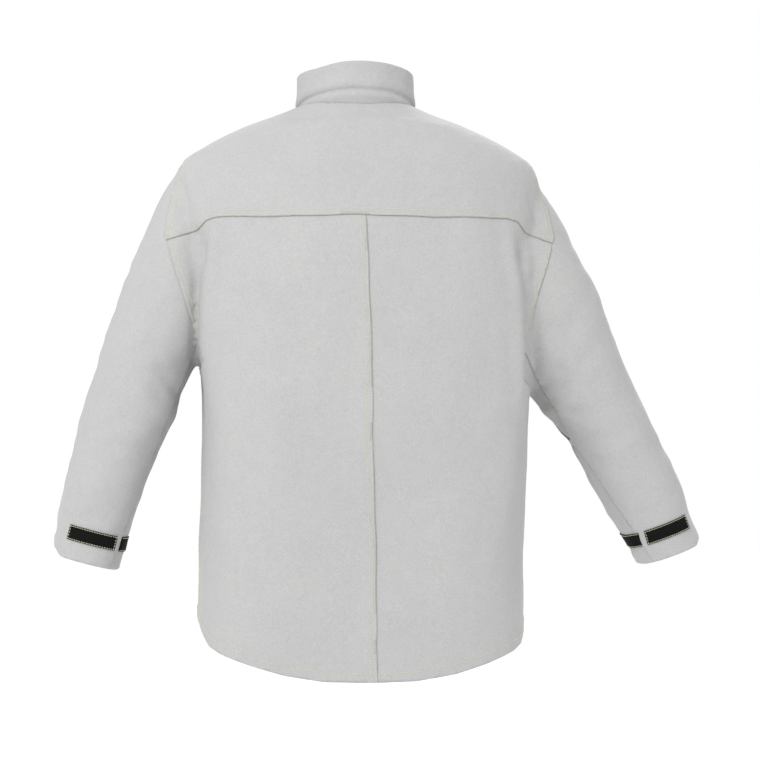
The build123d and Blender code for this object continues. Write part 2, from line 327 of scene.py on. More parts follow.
FIELDS = {"armhole": armhole, "yoke": yoke, "shoulder": shoulder, "side": side_edge, "hinge": hinge,
          "hem": hem, "neck": neck, "gap": front_gap, "middle": centre_seam,
          "cuff_left": cuff("left"), "cuff_right": cuff("right"),
          "seam_left": sleeve_seam("left"), "seam_right": sleeve_seam("right")}
NAMES = list(FIELDS)
COLUMN = {name: 6 + i for i, name in enumerate(NAMES)}


def surface_distance(field, p, n):
    """A field's value over its slope along the surface: about the distance to the seam."""
    step = 0.5
    slope = np.stack([(field(p + step * a) - field(p - step * a)) / (2 * step) for a in np.eye(3)], 1)
    slope -= (slope * n).sum(1, keepdims=True) * n
    return field(p) / np.clip(np.linalg.norm(slope, axis=1), 0.35, 4)


# ---------------------------------------------------------------- folds and waves
def waves(p, length, seed, stretch=(1, 1, 1), count=14):
    """Smooth seeded unevenness of about that wavelength, from -1 to 1."""
    draw = np.random.default_rng(seed)
    q = p / np.array(stretch)
    total = np.zeros(len(p))
    for _ in range(count):
        way = draw.normal(size=3)
        way *= 2 * math.pi / length / np.linalg.norm(way) * draw.uniform(0.7, 1.3)
        total += np.sin(q @ way + draw.uniform(0, 2 * math.pi))
    return total / math.sqrt(count) / 1.2


# A fold runs between two points (|x|, z) on the back (1), front (-1) or both (0), on the wearer's
# left (1), right (-1) or both (0); then its height and width. A negative height is a crease.
FOLDS = [
    ((205, -172), (217, -262), 1, 0, -4.5, 7), ((217, -240), (219, -375), 1, 0, -5.5, 6),
    ((190, -166), (204, -262), 1, 0, 4.0, 10), ((204, -240), (208, -420), 1, 0, 4.5, 10),
    ((236, -176), (222, -235), 1, -1, 2.4, 7), ((225, -120), (236, -172), 1, -1, -2.4, 6),
    ((226, -160), (207, -215), 1, 0, -3, 7), ((214, -130), (202, -175), 1, 1, 2.5, 8),
    ((243, -95), (226, -150), 1, 1, -2.4, 5), ((252, -130), (243, -165), 1, 1, 2.2, 6),
    ((30, -16), (98, -26), 1, 1, -3.2, 6), ((8, -26), (125, -38), 1, 0, 2.4, 9),
    ((-40, -14), (70, -20), 1, -1, -2.0, 6), ((0, -44), (120, -58), 1, 1, -1.8, 10),
    ((175, -120), (185, -230), 1, 0, -1.6, 14), ((160, -240), (150, -520), 1, 0, -2.0, 22),
    ((120, -200), (112, -600), 1, 1, 1.6, 26), ((196, -420), (150, -500), 1, 0, -1.6, 16),
    ((205, -470), (160, -620), 1, 0, 2.0, 20), ((90, -420), (70, -700), 1, -1, -1.6, 24),
    ((232, -400), (275, -350), 0, 0, -3.2, 9), ((240, -430), (300, -385), 0, 0, 2.6, 12),
    ((246, -420), (310, -330), 0, 0, -2.6, 11), ((262, -470), (330, -450), 0, 0, -2.2, 12),
    ((300, -470), (365, -430), 0, 1, 2.0, 14), ((290, -520), (350, -505), 0, 0, 1.6, 12),
    ((300, -250), (268, -330), 0, 0, -1.8, 14), ((318, -300), (270, -370), 0, 0, 1.8, 15),
    ((310, -560), (360, -540), 0, 0, -1.2, 9), ((385, -470), (345, -520), 0, 0, 1.5, 13),
    ((60, -120), (150, -200), -1, 0, 2.0, 18), ((80, -330), (160, -420), -1, 0, -1.8, 20),
]


def folded(p, n):
    move = np.zeros(len(p))
    x, z = np.abs(p[:, 0]), p[:, 2]
    facing = n[:, 1]
    for (x0, z0), (x1, z1), face, hand, height, width in FOLDS:
        ax, az = x1 - x0, z1 - z0
        length = math.hypot(ax, az)
        along = ((x - x0) * ax + (z - z0) * az) / length ** 2
        off = np.abs((x - x0) * az - (z - z0) * ax) / length
        ends = smoothstep((along + 0.1) / 0.45) * smoothstep((1.15 - along) / 0.35)
        amount = height * np.exp(-(off / width) ** 2) * ends
        if face:
            amount = amount * smoothstep(facing * face / 0.5)
        if hand:
            amount = amount * (p[:, 0] * hand > 0)
        move += amount
    sleeve = smoothstep((armhole(p) + 5) / 60)
    low = smoothstep((-z - 380) / 380) * (1 - sleeve)
    move += sleeve * (1.5 * waves(p, 75, 3, (2.2, 1.6, 1)) + 0.7 * waves(p, 30, 4, (2, 1.4, 1)))
    move += (1 - sleeve) * (1.0 * waves(p, 190, 5, (1, 1, 2.2)) + 0.45 * waves(p, 60, 6, (1, 1, 1.6)))
    move += low * 3.0 * waves(p, 170, 8, (1, 1, 6))
    move += 0.14 * waves(p, 16, 9)
    return p + n * move[:, None]


# ---------------------------------------------------------------- cutting
def clip(a, t, f):
    """The part of a surface where f is positive, with new points on the line where it is zero."""
    f = np.where(np.abs(f) < 0.25, 0.0, f)
    sign = np.sign(f)[t]
    whole = (sign >= 0).all(1) & (sign > 0).any(1)
    cut = (sign > 0).any(1) & (sign < 0).any(1)
    rows, made, tris = [], {}, []
    for tri in t[cut]:
        poly = []
        for i in range(3):
            u, v = int(tri[i]), int(tri[(i + 1) % 3])
            if f[u] >= 0:
                poly.append(u)
            if f[u] * f[v] < 0:
                key = (min(u, v), max(u, v))
                if key not in made:
                    made[key] = len(a) + len(rows)
                    rows.append(a[u] + (a[v] - a[u]) * (f[u] / (f[u] - f[v])))
                poly.append(made[key])
        for k in range(1, len(poly) - 1):
            tris.append((poly[0], poly[k], poly[k + 1]))
    a = np.vstack([a] + ([np.array(rows)] if rows else []))
    t = np.vstack([t[whole]] + ([np.array(tris)] if tris else []))
    used, t = np.unique(t, return_inverse=True)
    return a[used], t.reshape(-1, 3)


def largest(a, t):
    """Leave out stray islands: only the biggest connected part stays."""
    e, _ = edges_of(t)
    group = np.arange(len(a))
    while True:
        low = np.minimum(group[e[:, 0]], group[e[:, 1]])
        new = group.copy()
        np.minimum.at(new, e[:, 0], low)
        np.minimum.at(new, e[:, 1], low)
        new = new[new]
        if (new == group).all():
            break
        group = new
    best = np.bincount(group).argmax()
    t = t[group[t[:, 0]] == best]
    used, t = np.unique(t, return_inverse=True)
    return a[used], t.reshape(-1, 3)


def contour(p, n, t, f):
    """The lines on a surface where f is zero, as lists of (point, normal)."""
    sign = f[t] > 0
    crossing = sign.any(1) & ~sign.all(1)
    place, links = {}, {}
    for tri in t[crossing]:
        keys = []
        for i in range(3):
            u, v = int(tri[i]), int(tri[(i + 1) % 3])
            if (f[u] > 0) != (f[v] > 0):
                key = (min(u, v), max(u, v))
                s = f[u] / (f[u] - f[v])
                place[key] = (p[u] + (p[v] - p[u]) * s, n[u] + (n[v] - n[u]) * s)
                keys.append(key)
        if len(keys) == 2:
            links.setdefault(keys[0], []).append(keys[1])
            links.setdefault(keys[1], []).append(keys[0])
    lines, seen = [], set()
    starts = [k for k in links if len(links[k]) == 1] + list(links)
    for start in starts:
        if start in seen:
            continue
        line = [start]
        seen.add(start)
        while True:
            ahead = [k for k in links[line[-1]] if k not in seen]
            if not ahead:
                break
            line.append(ahead[0])
            seen.add(ahead[0])
        if len(line) > 3:
            lines.append([place[k] for k in line])
    return lines


STITCH_PITCH = 3.4
STITCH_LENGTH = 2.7
STITCH_RADIUS = 0.42


def stitch_points(points, normals):
    """A small bowed thread for each stitch along a line."""
    points, normals = np.array(points), np.array(normals)
    gaps = np.linalg.norm(np.diff(points, axis=0), axis=1)
    reach = np.concatenate([[0], np.cumsum(gaps)])
    count = int(reach[-1] // STITCH_PITCH)
    if count < 2:
        return np.zeros((0, 3)), np.zeros((0, 4), int)
    at = (np.arange(count) + 0.5) * reach[-1] / count
    def along(s, values):
        return np.stack([np.interp(s, reach, values[:, i]) for i in range(3)], 1)
    middle = along(at, points)
    way = along(at + 1.2, points) - along(at - 1.2, points)
    way /= np.maximum(np.linalg.norm(way, axis=1, keepdims=True), 1e-9)
    up = along(at, normals)
    up -= (up * way).sum(1, keepdims=True) * way
    up /= np.maximum(np.linalg.norm(up, axis=1, keepdims=True), 1e-9)
    across = np.cross(way, up)
    sides = 6
    stations = [(-0.5, 0.35, -0.3), (-0.36, 0.9, 0.0), (0, 1.0, 0.14), (0.36, 0.9, 0.0), (0.5, 0.35, -0.3)]
    rings = []
    for s, r, h in stations:
        centre = middle + way * (s * STITCH_LENGTH) + up * h
        for k in range(sides):
            angle = 2 * math.pi * k / sides
            rings.append(centre + (across * math.cos(angle) + up * math.sin(angle)) * STITCH_RADIUS * r)
    p = np.stack(rings, 1)
    faces = []
    for i in range(len(stations) - 1):
        for k in range(sides):
            m = (k + 1) % sides
            faces.append((i * sides + k, (i + 1) * sides + k, (i + 1) * sides + m, i * sides + m))
    per = p.shape[1]
    all_faces = (np.arange(count)[:, None, None] * per + np.array(faces)[None]).reshape(-1, 4)
    return p.reshape(-1, 3), all_faces


# ---------------------------------------------------------------- materials
def nodes_of(name):
    material = bpy.data.materials.new(name)
    material.use_nodes = True
    tree = material.node_tree
    shader = tree.nodes["Principled BSDF"]
    return material, tree, shader


def noise(tree, scale, detail=3, roughness=0.55, where=None):
    node = tree.nodes.new("ShaderNodeTexNoise")
    node.inputs["Scale"].default_value = scale
    node.inputs["Detail"].default_value = detail
    node.inputs["Roughness"].default_value = roughness
    tree.links.new(where, node.inputs["Vector"])
    return node.outputs["Fac"]


def ramp(tree, value, stops):
    node = tree.nodes.new("ShaderNodeValToRGB")
    tree.links.new(value, node.inputs["Fac"])
    node.color_ramp.elements[0].position = stops[0][0]
    node.color_ramp.elements[0].color = (*stops[0][1], 1)
    node.color_ramp.elements[1].position = stops[-1][0]
    node.color_ramp.elements[1].color = (*stops[-1][1], 1)
    for position, colour in stops[1:-1]:
        node.color_ramp.elements.new(position).color = (*colour, 1)
    return node.outputs["Color"]


def mixed(tree, kind, factor, a, b):
    node = tree.nodes.new("ShaderNodeMix")
    node.data_type = "RGBA"
    node.blend_type = kind
    node.inputs["Factor"].default_value = factor
    tree.links.new(a, node.inputs["A"])
    tree.links.new(b, node.inputs["B"])
    return node.outputs["Result"]


def bump(tree, value, strength, distance, below=None):
    node = tree.nodes.new("ShaderNodeBump")
    node.inputs["Strength"].default_value = strength
    node.inputs["Distance"].default_value = distance
    tree.links.new(value, node.inputs["Height"])
    if below is not None:
        tree.links.new(below, node.inputs["Normal"])
    return node.outputs["Normal"]


def leather_material():
    """Split leather: pale, matte, with nap in small clumps and broad cloudy patches."""
    material, tree, shader = nodes_of("split_leather")
    where = tree.nodes.new("ShaderNodeTexCoord").outputs["Object"]
    patches = ramp(tree, noise(tree, 7, 4, 0.6, where),
                   [(0.3, (0.412, 0.414, 0.413)), (0.7, (0.436, 0.437, 0.435))])
    mottle = ramp(tree, noise(tree, 85, 5, 0.7, where), [(0.3, (0.955, 0.955, 0.952)), (0.7, (1, 1, 1))])
    fibres = ramp(tree, noise(tree, 620, 3, 0.7, where), [(0.25, (0.80, 0.80, 0.795)), (0.62, (1, 1, 1))])
    colour = mixed(tree, "MULTIPLY", 1.0, mixed(tree, "MULTIPLY", 1.0, patches, mottle), fibres)
    tree.links.new(colour, shader.inputs["Base Color"])
    nap = bump(tree, noise(tree, 900, 4, 0.75, where), 0.35, 0.0006)
    clumps = bump(tree, noise(tree, 240, 4, 0.65, where), 0.3, 0.0012, nap)
    dents = bump(tree, noise(tree, 38, 3, 0.5, where), 0.25, 0.004, clumps)
    tree.links.new(dents, shader.inputs["Normal"])
    rough = ramp(tree, noise(tree, 140, 2, 0.5, where),
                 [(0.2, (0.82, 0.82, 0.82)), (0.8, (0.96, 0.96, 0.96))])
    tree.links.new(rough, shader.inputs["Roughness"])
    shader.inputs["Specular IOR Level"].default_value = 0.25
    shader.inputs["Sheen Weight"].default_value = 0.12
    shader.inputs["Sheen Roughness"].default_value = 0.6
    return material


def thread_material():
    material, tree, shader = nodes_of("thread")
    where = tree.nodes.new("ShaderNodeTexCoord").outputs["Object"]
    colour = ramp(tree, noise(tree, 420, 2, 0.5, where),
                  [(0.3, (0.50, 0.49, 0.33)), (0.7, (0.62, 0.61, 0.45))])
    tree.links.new(colour, shader.inputs["Base Color"])
    twist = tree.nodes.new("ShaderNodeTexWave")
    twist.inputs["Scale"].default_value = 900
    twist.inputs["Distortion"].default_value = 2
    tree.links.new(where, twist.inputs["Vector"])
    tree.links.new(bump(tree, twist.outputs["Fac"], 0.4, 0.0002), shader.inputs["Normal"])
    shader.inputs["Roughness"].default_value = 0.6
    return material


def tape_material():
    """Black loop tape: a dense mat of fine loops."""
    material, tree, shader = nodes_of("loop_tape")
    where = tree.nodes.new("ShaderNodeTexCoord").outputs["Object"]
    fluff = noise(tree, 1300, 4, 0.8, where)
    colour = ramp(tree, fluff, [(0.35, (0.002, 0.002, 0.002)), (0.75, (0.014, 0.0145, 0.0135))])
    tree.links.new(colour, shader.inputs["Base Color"])
    tree.links.new(bump(tree, fluff, 1.0, 0.0012), shader.inputs["Normal"])
    rough = ramp(tree, noise(tree, 200, 2, 0.5, where), [(0.2, (0.8, 0.8, 0.8)), (0.8, (0.98, 0.98, 0.98))])
    tree.links.new(rough, shader.inputs["Roughness"])
    shader.inputs["Specular IOR Level"].default_value = 0.08
    return material


def metal_material():
    """Nickel-plated snaps, dulled by handling."""
    material, tree, shader = nodes_of("snap_metal")
    where = tree.nodes.new("ShaderNodeTexCoord").outputs["Object"]
    colour = ramp(tree, noise(tree, 260, 4, 0.6, where),
                  [(0.3, (0.44, 0.44, 0.43)), (0.7, (0.62, 0.62, 0.61))])
    tree.links.new(colour, shader.inputs["Base Color"])
    rough = ramp(tree, noise(tree, 520, 4, 0.7, where),
                 [(0.3, (0.24, 0.24, 0.24)), (0.7, (0.46, 0.46, 0.46))])
    tree.links.new(rough, shader.inputs["Roughness"])
    tree.links.new(bump(tree, noise(tree, 1500, 3, 0.6, where), 0.15, 0.0003), shader.inputs["Normal"])
    shader.inputs["Metallic"].default_value = 1.0
    return material


SPLIT_LEATHER = leather_material()
THREAD = thread_material()
LOOP_TAPE = tape_material()
METAL = metal_material()


def follow(obj, body):
    if body in ("left_front", "right_front"):
        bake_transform(obj)
    elif body in ("left_cuff_strap", "right_cuff_strap"):
        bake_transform(obj)
    elif body in ("left_sleeve", "right_sleeve"):
        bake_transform(obj)
    else:
        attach(obj, body)


def make(name, p, faces, material, body, replaces=()):
    """A piece from points in mm."""
    mesh = bpy.data.meshes.new(name)
    mesh.from_pydata((np.asarray(p) * MM).tolist(), [], [list(map(int, f)) for f in faces])
    mesh.materials.append(material)
    mesh.polygons.foreach_set("use_smooth", [True] * len(mesh.polygons))
    mesh.validate()
    obj = bpy.data.objects.new(name, mesh)
    scene.collection.objects.link(obj)
    follow(obj, body)
    if replaces:
        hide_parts(*replaces)
    return obj


def shell(p, n, t, thick):
    """Thickness inwards from an outer surface, with a closed rim."""
    count = len(p)
    e = np.concatenate([t[:, [0, 1]], t[:, [1, 2]], t[:, [2, 0]]])
    _, index, uses = np.unique(np.sort(e, axis=1), axis=0, return_index=True, return_counts=True)
    rim = e[index[uses == 1]]
    faces = [tuple(f) for f in t] + [tuple(f[::-1] + count) for f in t]
    faces += [(b, a, a + count, b + count) for a, b in rim]
    return np.vstack([p, p - n * thick]), faces


def thread(name, lines, body):
    points, faces, start = [], [], 0
    for line in lines:
        p, f = stitch_points([q[0] for q in line], [q[1] / np.linalg.norm(q[1]) for q in line])
        points.append(p)
        faces.append(f + start)
        start += len(p)
    if start:
        return make(name, np.vstack(points), np.vstack(faces), THREAD, body)


base, base_t = base_surface()
base = relax(base, base_t, 5)
base = folded(base, normals_of(base, base_t))
base = relax(base, base_t, 2)
base_n = normals_of(base, base_t)
if base_n[np.argmax(base[:, 1]), 1] < 0:
    base_t = base_t[:, ::-1]
    base_n = -base_n
everything = np.hstack([base, base_n] + [surface_distance(FIELDS[k], base, base_n)[:, None] for k in NAMES])

# the deep fold at the armpit hides thread between these distances from the middle and heights
FOLD_NEAR, FOLD_FAR = 190, 236
FOLD_LOW, FOLD_HIGH = -410, -312
FOLD_BEHIND = 20


def seen_parts(line):
    """The parts of a row of thread outside the deep fold at the armpit."""
    parts, part = [], []
    for point, normal in line:
        x, y, z = point
        if y > FOLD_BEHIND and FOLD_NEAR < abs(x) < FOLD_FAR and FOLD_LOW < z < FOLD_HIGH:
            parts.append(part)
            part = []
        else:
            part.append((point, normal))
    return [q for q in parts + [part] if len(q) > 3]


LIFT = 1.4
LIFT_WIDTH = 22


def panel(name, limits, tops, body, rows=(), fades=(), hem_band=None, extra=None):
    """Cut a panel from the base surface.

    limits are (field, sign, allowance); tops are the (field, sign) where this panel lies on its
    neighbour, so it is raised there; rows are the (field, sign, distances) that carry thread.
    """
    a, t = everything, base_t
    if extra is not None:
        t = t[extra(a[t].mean(1))]
    for field, sign, allowance in limits:
        a, t = clip(a, t, sign * a[:, COLUMN[field]] + allowance)
    a, t = largest(a, t)
    lift = np.zeros(len(a))
    for field, sign in tops:
        d = sign * a[:, COLUMN[field]]
        lift = np.maximum(lift, LIFT * (1 - smoothstep((d - 6) / LIFT_WIDTH)))
    for field, sign in fades:
        lift *= smoothstep((sign * a[:, COLUMN[field]] - 1) / 10)
    under = np.zeros(len(a))
    for field, sign, allowance in limits:
        if allowance:
            under = np.maximum(under, 1 - smoothstep((sign * a[:, COLUMN[field]] + 1.5) / 3))
    if hem_band:
        field, width = hem_band
        lift = np.maximum(lift, 1.0 * (1 - smoothstep((a[:, COLUMN[field]] - width) / 2.5)))
    p = a[:, :3] + a[:, 3:6] * (lift - 0.5 * under)[:, None]
    n = normals_of(p, t)
    if (n * a[:, 3:6]).sum() < 0:
        n = -n
        t = t[:, ::-1]
    points, faces = shell(p, n, t, LEATHER)
    make(name, points, faces, SPLIT_LEATHER, body, [name])
    lines = []
    for field, sign, distances in rows:
        for distance in distances:
            lines += contour(p, n, t, sign * a[:, COLUMN[field]] - distance)
    lines = [line for whole in lines for line in seen_parts(whole)]
    thread(f"{name}_thread", lines, body)


NOT_SLEEVE = ("armhole", -1, 0)
panel("back_yoke", [("yoke", 1, 0), ("shoulder", 1, 0), NOT_SLEEVE, ("neck", 1, 0)],
      [("yoke", 1), ("shoulder", 1), ("armhole", -1)], "root",
      [("yoke", 1, STITCH_ROWS), ("shoulder", 1, STITCH_ROWS), ("armhole", -1, STITCH_ROWS)])
for name, sign, allowance in (("left", 1, 0), ("right", -1, LAP)):
    top = [("middle", 1)] if sign > 0 else []
    rows = [("armhole", -1, STITCH_ROWS), ("side", 1, STITCH_ROWS), ("hem", 1, (12,))]
    if sign > 0:
        rows.append(("middle", 1, STITCH_ROWS))
    panel(f"back_{name}_panel", [("yoke", -1, LAP), ("middle", sign, allowance), NOT_SLEEVE,
                                 ("side", 1, 0), ("hem", 1, 0)],
          top + [("armhole", -1), ("side", 1)], "root", rows, [("yoke", -1)], ("hem", 13),
          extra=lambda m: m[:, 1] > -20)
    near = (lambda s: lambda m: (m[:, 0] * s > 0) & (m[:, 1] < 30))(sign)
    panel(f"{name}_side_panel", [("side", -1, LAP), ("hinge", 1, LAP), NOT_SLEEVE, ("hem", 1, 0)],
          [("armhole", -1)], "root", [("armhole", -1, STITCH_ROWS), ("hem", 1, (12,))], [("side", -1)],
          ("hem", 13), extra=near)
    panel(f"{name}_front_panel", [("hinge", -1, 0), ("shoulder", -1, LAP), ("gap", 1, 0), ("neck", 1, 0),
                                  ("hem", 1, 0)],
          [("hinge", -1)], f"{name}_front",
          [("hinge", -1, STITCH_ROWS), ("hem", 1, (12,)), ("gap", 1, (6,))], [("shoulder", -1)],
          ("hem", 13), extra=near)
    arm = (lambda s: lambda m: m[:, 0] * s > 150)(sign)
    panel(f"{name}_upper_sleeve", [("armhole", 1, LAP), (f"seam_{name}", 1, 0), (f"cuff_{name}", 1, 0)],
          [(f"seam_{name}", 1)], f"{name}_sleeve", (), [("armhole", 1)], (f"cuff_{name}", 10), extra=arm)
    panel(f"{name}_under_sleeve", [("armhole", 1, LAP), (f"seam_{name}", -1, LAP), (f"cuff_{name}", 1, 0)],
          [], f"{name}_sleeve", (), [], (f"cuff_{name}", 10), extra=arm)

# ---------------------------------------------------------------- collar, flap, facings, cuffs
tree = BVHTree.FromPolygons((base * MM).tolist(), base_t.tolist())


def cast(point, way):
    """The base surface's first point from there, in mm, and its outward normal."""
    hit, normal, _, _ = tree.ray_cast(Vector(point) * MM, Vector(way))
    if normal.dot(Vector(way)) > 0:
        normal = -normal
    return np.array(hit) / MM, np.array(normal)


def sheet_grid(rows):
    """Points, outward normals and triangles for a grid of points."""
    grid = np.array(rows)
    high, wide, _ = grid.shape
    p = grid.reshape(-1, 3)
    t = []
    for i in range(high - 1):
        for j in range(wide - 1):
            a, b, c, d = i * wide + j, i * wide + j + 1, (i + 1) * wide + j + 1, (i + 1) * wide + j
            t += [(a, b, c), (a, c, d)]
    t = np.array(t)
    return p, normals_of(p, t), t


def leather_grid(name, rows, outward, body, lines=()):
    """A leather piece over a grid whose faces should look along outward at its middle."""
    p, n, t = sheet_grid(rows)
    if n[len(n) // 2] @ np.array(outward, float) < 0:
        n, t = -n, t[:, ::-1]
    p = p + n * (0.22 * waves(p, 34, 21) + 0.1 * waves(p, 12, 22))[:, None]
    points, faces = shell(p, n, t, LEATHER)
    make(name, points, faces, SPLIT_LEATHER, body, [name])
    if lines:
        index = np.arange(len(p)).reshape(np.array(rows).shape[:2])
        paths = [[(p[k], n[k]) for k in index[i, j].ravel()] for i, j in lines]
        thread(f"{name}_thread", paths, body)


def neck_point(angle, z, grow=0.0):
    taper = 3 * (z + 100) / 160
    x = (NECK_X - taper + grow) * math.cos(angle)
    y = NECK_MIDDLE + (NECK_Y - taper + grow) * math.sin(angle)
    return np.array([x, y, z])


def collar_piece(name, grow, roll):
    """A band round the neck from the neck seam to the collar's top edge, with the soft crease."""
    columns, levels = 150, 30
    rows = []
    slit = 0.028
    angles = np.linspace(-math.pi / 2 + slit, 1.5 * math.pi - slit, columns)
    foot = [cast(neck_point(a, 80), (0, 0, -1))[0][2] - 5 for a in angles]
    for i in range(levels + 1):
        row = []
        for a, z0 in zip(angles, foot):
            y = neck_point(a, 0)[1]
            top = np.interp(y, *zip(*COLLAR_TOP)) - 3 * math.exp(-((a - math.pi / 2 + 0.75) / 0.35) ** 2)
            t = min(i / (levels - 2), 1)
            z = z0 + (top - z0) * t
            crease = 0.31 * max(math.sin(a), 0) ** 1.1 + 0.05
            off = (t - crease) * (top - z0)
            out = grow - 2.0 * math.exp(-(off / 2.6) ** 2) * smoothstep(math.sin(a) * 3 + 0.6)
            out += 1.5 * math.exp(-((off - 9) / 8) ** 2) + 1.1 * math.exp(-((off + 8) / 5) ** 2)
            out += 0.8 * math.sin(5 * a + 1) * (t - 0.3) + 0.5 * math.sin(11 * a) * t * (1 - t)
            past = max(i - (levels - 2), 0)
            if past:
                out -= roll * past
                z += 0.5 if past == 1 else 0.1
            row.append(neck_point(a, z, out))
        rows.append(row)
    leather_grid(name, rows, (0, 1, 0), "root")


collar_piece("collar_outer", 0.0, 1.2)
collar_piece("collar_inner", -LEATHER - 0.4, 0.0)

flap_x = np.linspace(-28, 44, 19)
flap_z = np.concatenate([np.linspace(FLAP_LOW, FLAP_LOW + 14, 4), np.linspace(FLAP_LOW + 20, FLAP_NECK, 112)])
flap_rows = []
for z in flap_z:
    row = []
    for x in flap_x:
        hit, _ = cast((x, -400, z), (0, 1, 0))
        stand = 5.3 - 3.2 * smoothstep((x - 22) / 18) - 0.7 * smoothstep((-22 - x) / 6)
        row.append(hit + np.array([0, -stand, 0]))
    flap_rows.append(row)
leather_grid("storm_flap", flap_rows, (0, -1, 0), "left_front",
             [(slice(1, -1), -2), (slice(1, -1), -4), (slice(1, -1), 1), (2, slice(1, -1))])

for name, side in (("left", 1), ("right", -1)):
    rows = []
    for z in np.linspace(FLAP_LOW, FLAP_HIGH, 90):
        start = np.interp(z, (-110, -36), (2, 14))
        row = []
        for x in np.linspace(start, 46, 9):
            hit, normal = cast((side * x, -400, z), (0, 1, 0))
            row.append(hit - normal * (LEATHER + 0.5))
        rows.append(row)
    leather_grid(f"{name}_front_facing", rows, (0, -1, 0), f"{name}_front", [(slice(1, -1), -2)])

tab_rows = []
for v in np.linspace(-1, 1, 9):
    row = []
    for u in np.linspace(0, 1, 26):
        tip = 12 * max(0.0, 1 - u / 0.18) ** 2 * abs(v) ** 2.5
        x = -34 + 64 * u + tip
        angle = -math.acos(x / (NECK_X - 1.7))
        z = -11 + 13 * v * (1 - 0.12 * max(0.0, 1 - u / 0.12))
        row.append(neck_point(angle, z, 5.2 - 2.6 * smoothstep((u - 0.72) / 0.25)))
    tab_rows.append(row)
leather_grid("throat_tab", tab_rows, (0, -1, 0), "throat_strap",
             [(1, slice(2, -1)), (-2, slice(2, -1)), (slice(1, -1), -2), (slice(1, -1), 2)])


def cut_band(name, hand, field_limits, rise, thick, material, body, edge_rows=(), grain=0.0):
    """A strip cut from the sleeve's surface and moved out by rise. Limits are fields of the points."""
    a, t = everything, base_t
    side = SLEEVES[hand][0]
    centre = a[t].mean(1)
    t = t[(centre[:, 0] * side > 250) & (a[t][:, :, COLUMN["armhole"]].min(1) > 5)]
    for limit in field_limits:
        a, t = clip(a, t, limit(a))
    seam = a[:, COLUMN[f"seam_{hand}"]]
    lift = LIFT * (1 - smoothstep((seam - 6) / LIFT_WIDTH)) * (seam > 0)
    p = a[:, :3] + a[:, 3:6] * (lift + rise)[:, None]
    n = normals_of(p, t)
    if (n * a[:, 3:6]).sum() < 0:
        n, t = -n, t[:, ::-1]
    if grain:
        p = p + n * (grain * waves(p, 3.2, 31))[:, None]
    points, faces = shell(p, n, t, thick)
    make(name, points, faces, material, body, [name])
    lines = []
    for limit, distance in edge_rows:
        lines += contour(p, n, t, limit(a) - distance)
    thread(f"{name}_thread", lines, body)


def up_from(hand, low):
    return lambda a: cuff_frame(hand, a)[1] - low


def up_to(hand, high):
    return lambda a: high - cuff_frame(hand, a)[1]


def across_from(hand, low):
    return lambda a: (cuff_frame(hand, a)[0] - low) * 44


def across_to(hand, high):
    return lambda a: (high - cuff_frame(hand, a)[0]) * 44


def behind(y):
    return lambda a: a[:, 1] - y


def before(y):
    return lambda a: y - a[:, 1]


TAPE_LOW, TAPE_HIGH = 21.5, 41
TAB_LOW, TAB_HIGH = 17, 45
for hand in ("left", "right"):
    body = f"{hand}_sleeve"
    band = [up_from(hand, TAPE_LOW), up_to(hand, TAPE_HIGH)]
    edges = [(up_from(hand, TAPE_LOW), 1.3), (up_to(hand, TAPE_HIGH), 1.3)]
    for name, limits, ends in (
            ("cuff_loop_long", [across_from(hand, -0.70), across_to(hand, 0.65), behind(4)],
             [(across_from(hand, -0.70), 1.3), (across_to(hand, 0.65), 1.3)]),
            ("cuff_loop_short", [across_to(hand, -0.86), behind(-18)], [(behind(-18), 1.3)]),
            ("cuff_hook", [across_from(hand, 0.0), across_to(hand, 0.7), before(-10)],
             [(across_from(hand, 0.0), 1.3)])):
        cut_band(f"{hand}_{name}", hand, band + limits, 1.6, 1.5, LOOP_TAPE, body,
                 edges + ends, 0.12)
    cut_band(f"{hand}_cuff_tab", hand,
             [up_from(hand, TAB_LOW), up_to(hand, TAB_HIGH), across_from(hand, -0.62),
              across_to(hand, 0.8), before(-12)],
             3.5, 1.5, SPLIT_LEATHER, f"{hand}_cuff_strap",
             [(up_from(hand, TAB_LOW), 2.5), (up_to(hand, TAB_HIGH), 2.5), (across_from(hand, -0.62), 4)])
    rim = COLUMN[f"cuff_{hand}"]
    cut_band(f"{hand}_cuff_facing", hand, [lambda a, c=rim: a[:, c] - 0.6, lambda a, c=rim: 52 - a[:, c]],
             -LEATHER - 0.5, LEATHER, SPLIT_LEATHER, body)

# ---------------------------------------------------------------- hanger loop and snaps
loop_rows = []
steps = 96
for k in range(steps + 1):
    angle = 2 * math.pi * k / steps
    c, w = math.cos(angle), math.sin(angle)
    r = (abs(c) ** 5 + abs(w) ** 5) ** -0.2
    x, z = 23 * c * r, -9 + 17 * w * r
    ring = []
    for across, out in ((-4, 0.3), (-3.6, 0.9), (-2, 1.1), (0, 1.2), (2, 1.1), (3.6, 0.9), (4, 0.3),
                        (3.6, -0.3), (0, -0.4), (-3.6, -0.3), (-4, 0.3)):
        reach = math.hypot(x, z + 9)
        ring.append((x + across * x / reach, 55.2 - out, z + across * (z + 9) / reach))
    loop_rows.append(ring)
p, _, t = sheet_grid(loop_rows)
_, first, same = np.unique(np.round(p, 4), axis=0, return_index=True, return_inverse=True)
p, t = p[first], same.ravel()[t]
make("hanger_loop", p, t, SPLIT_LEATHER, "root", ["hanger_loop"])


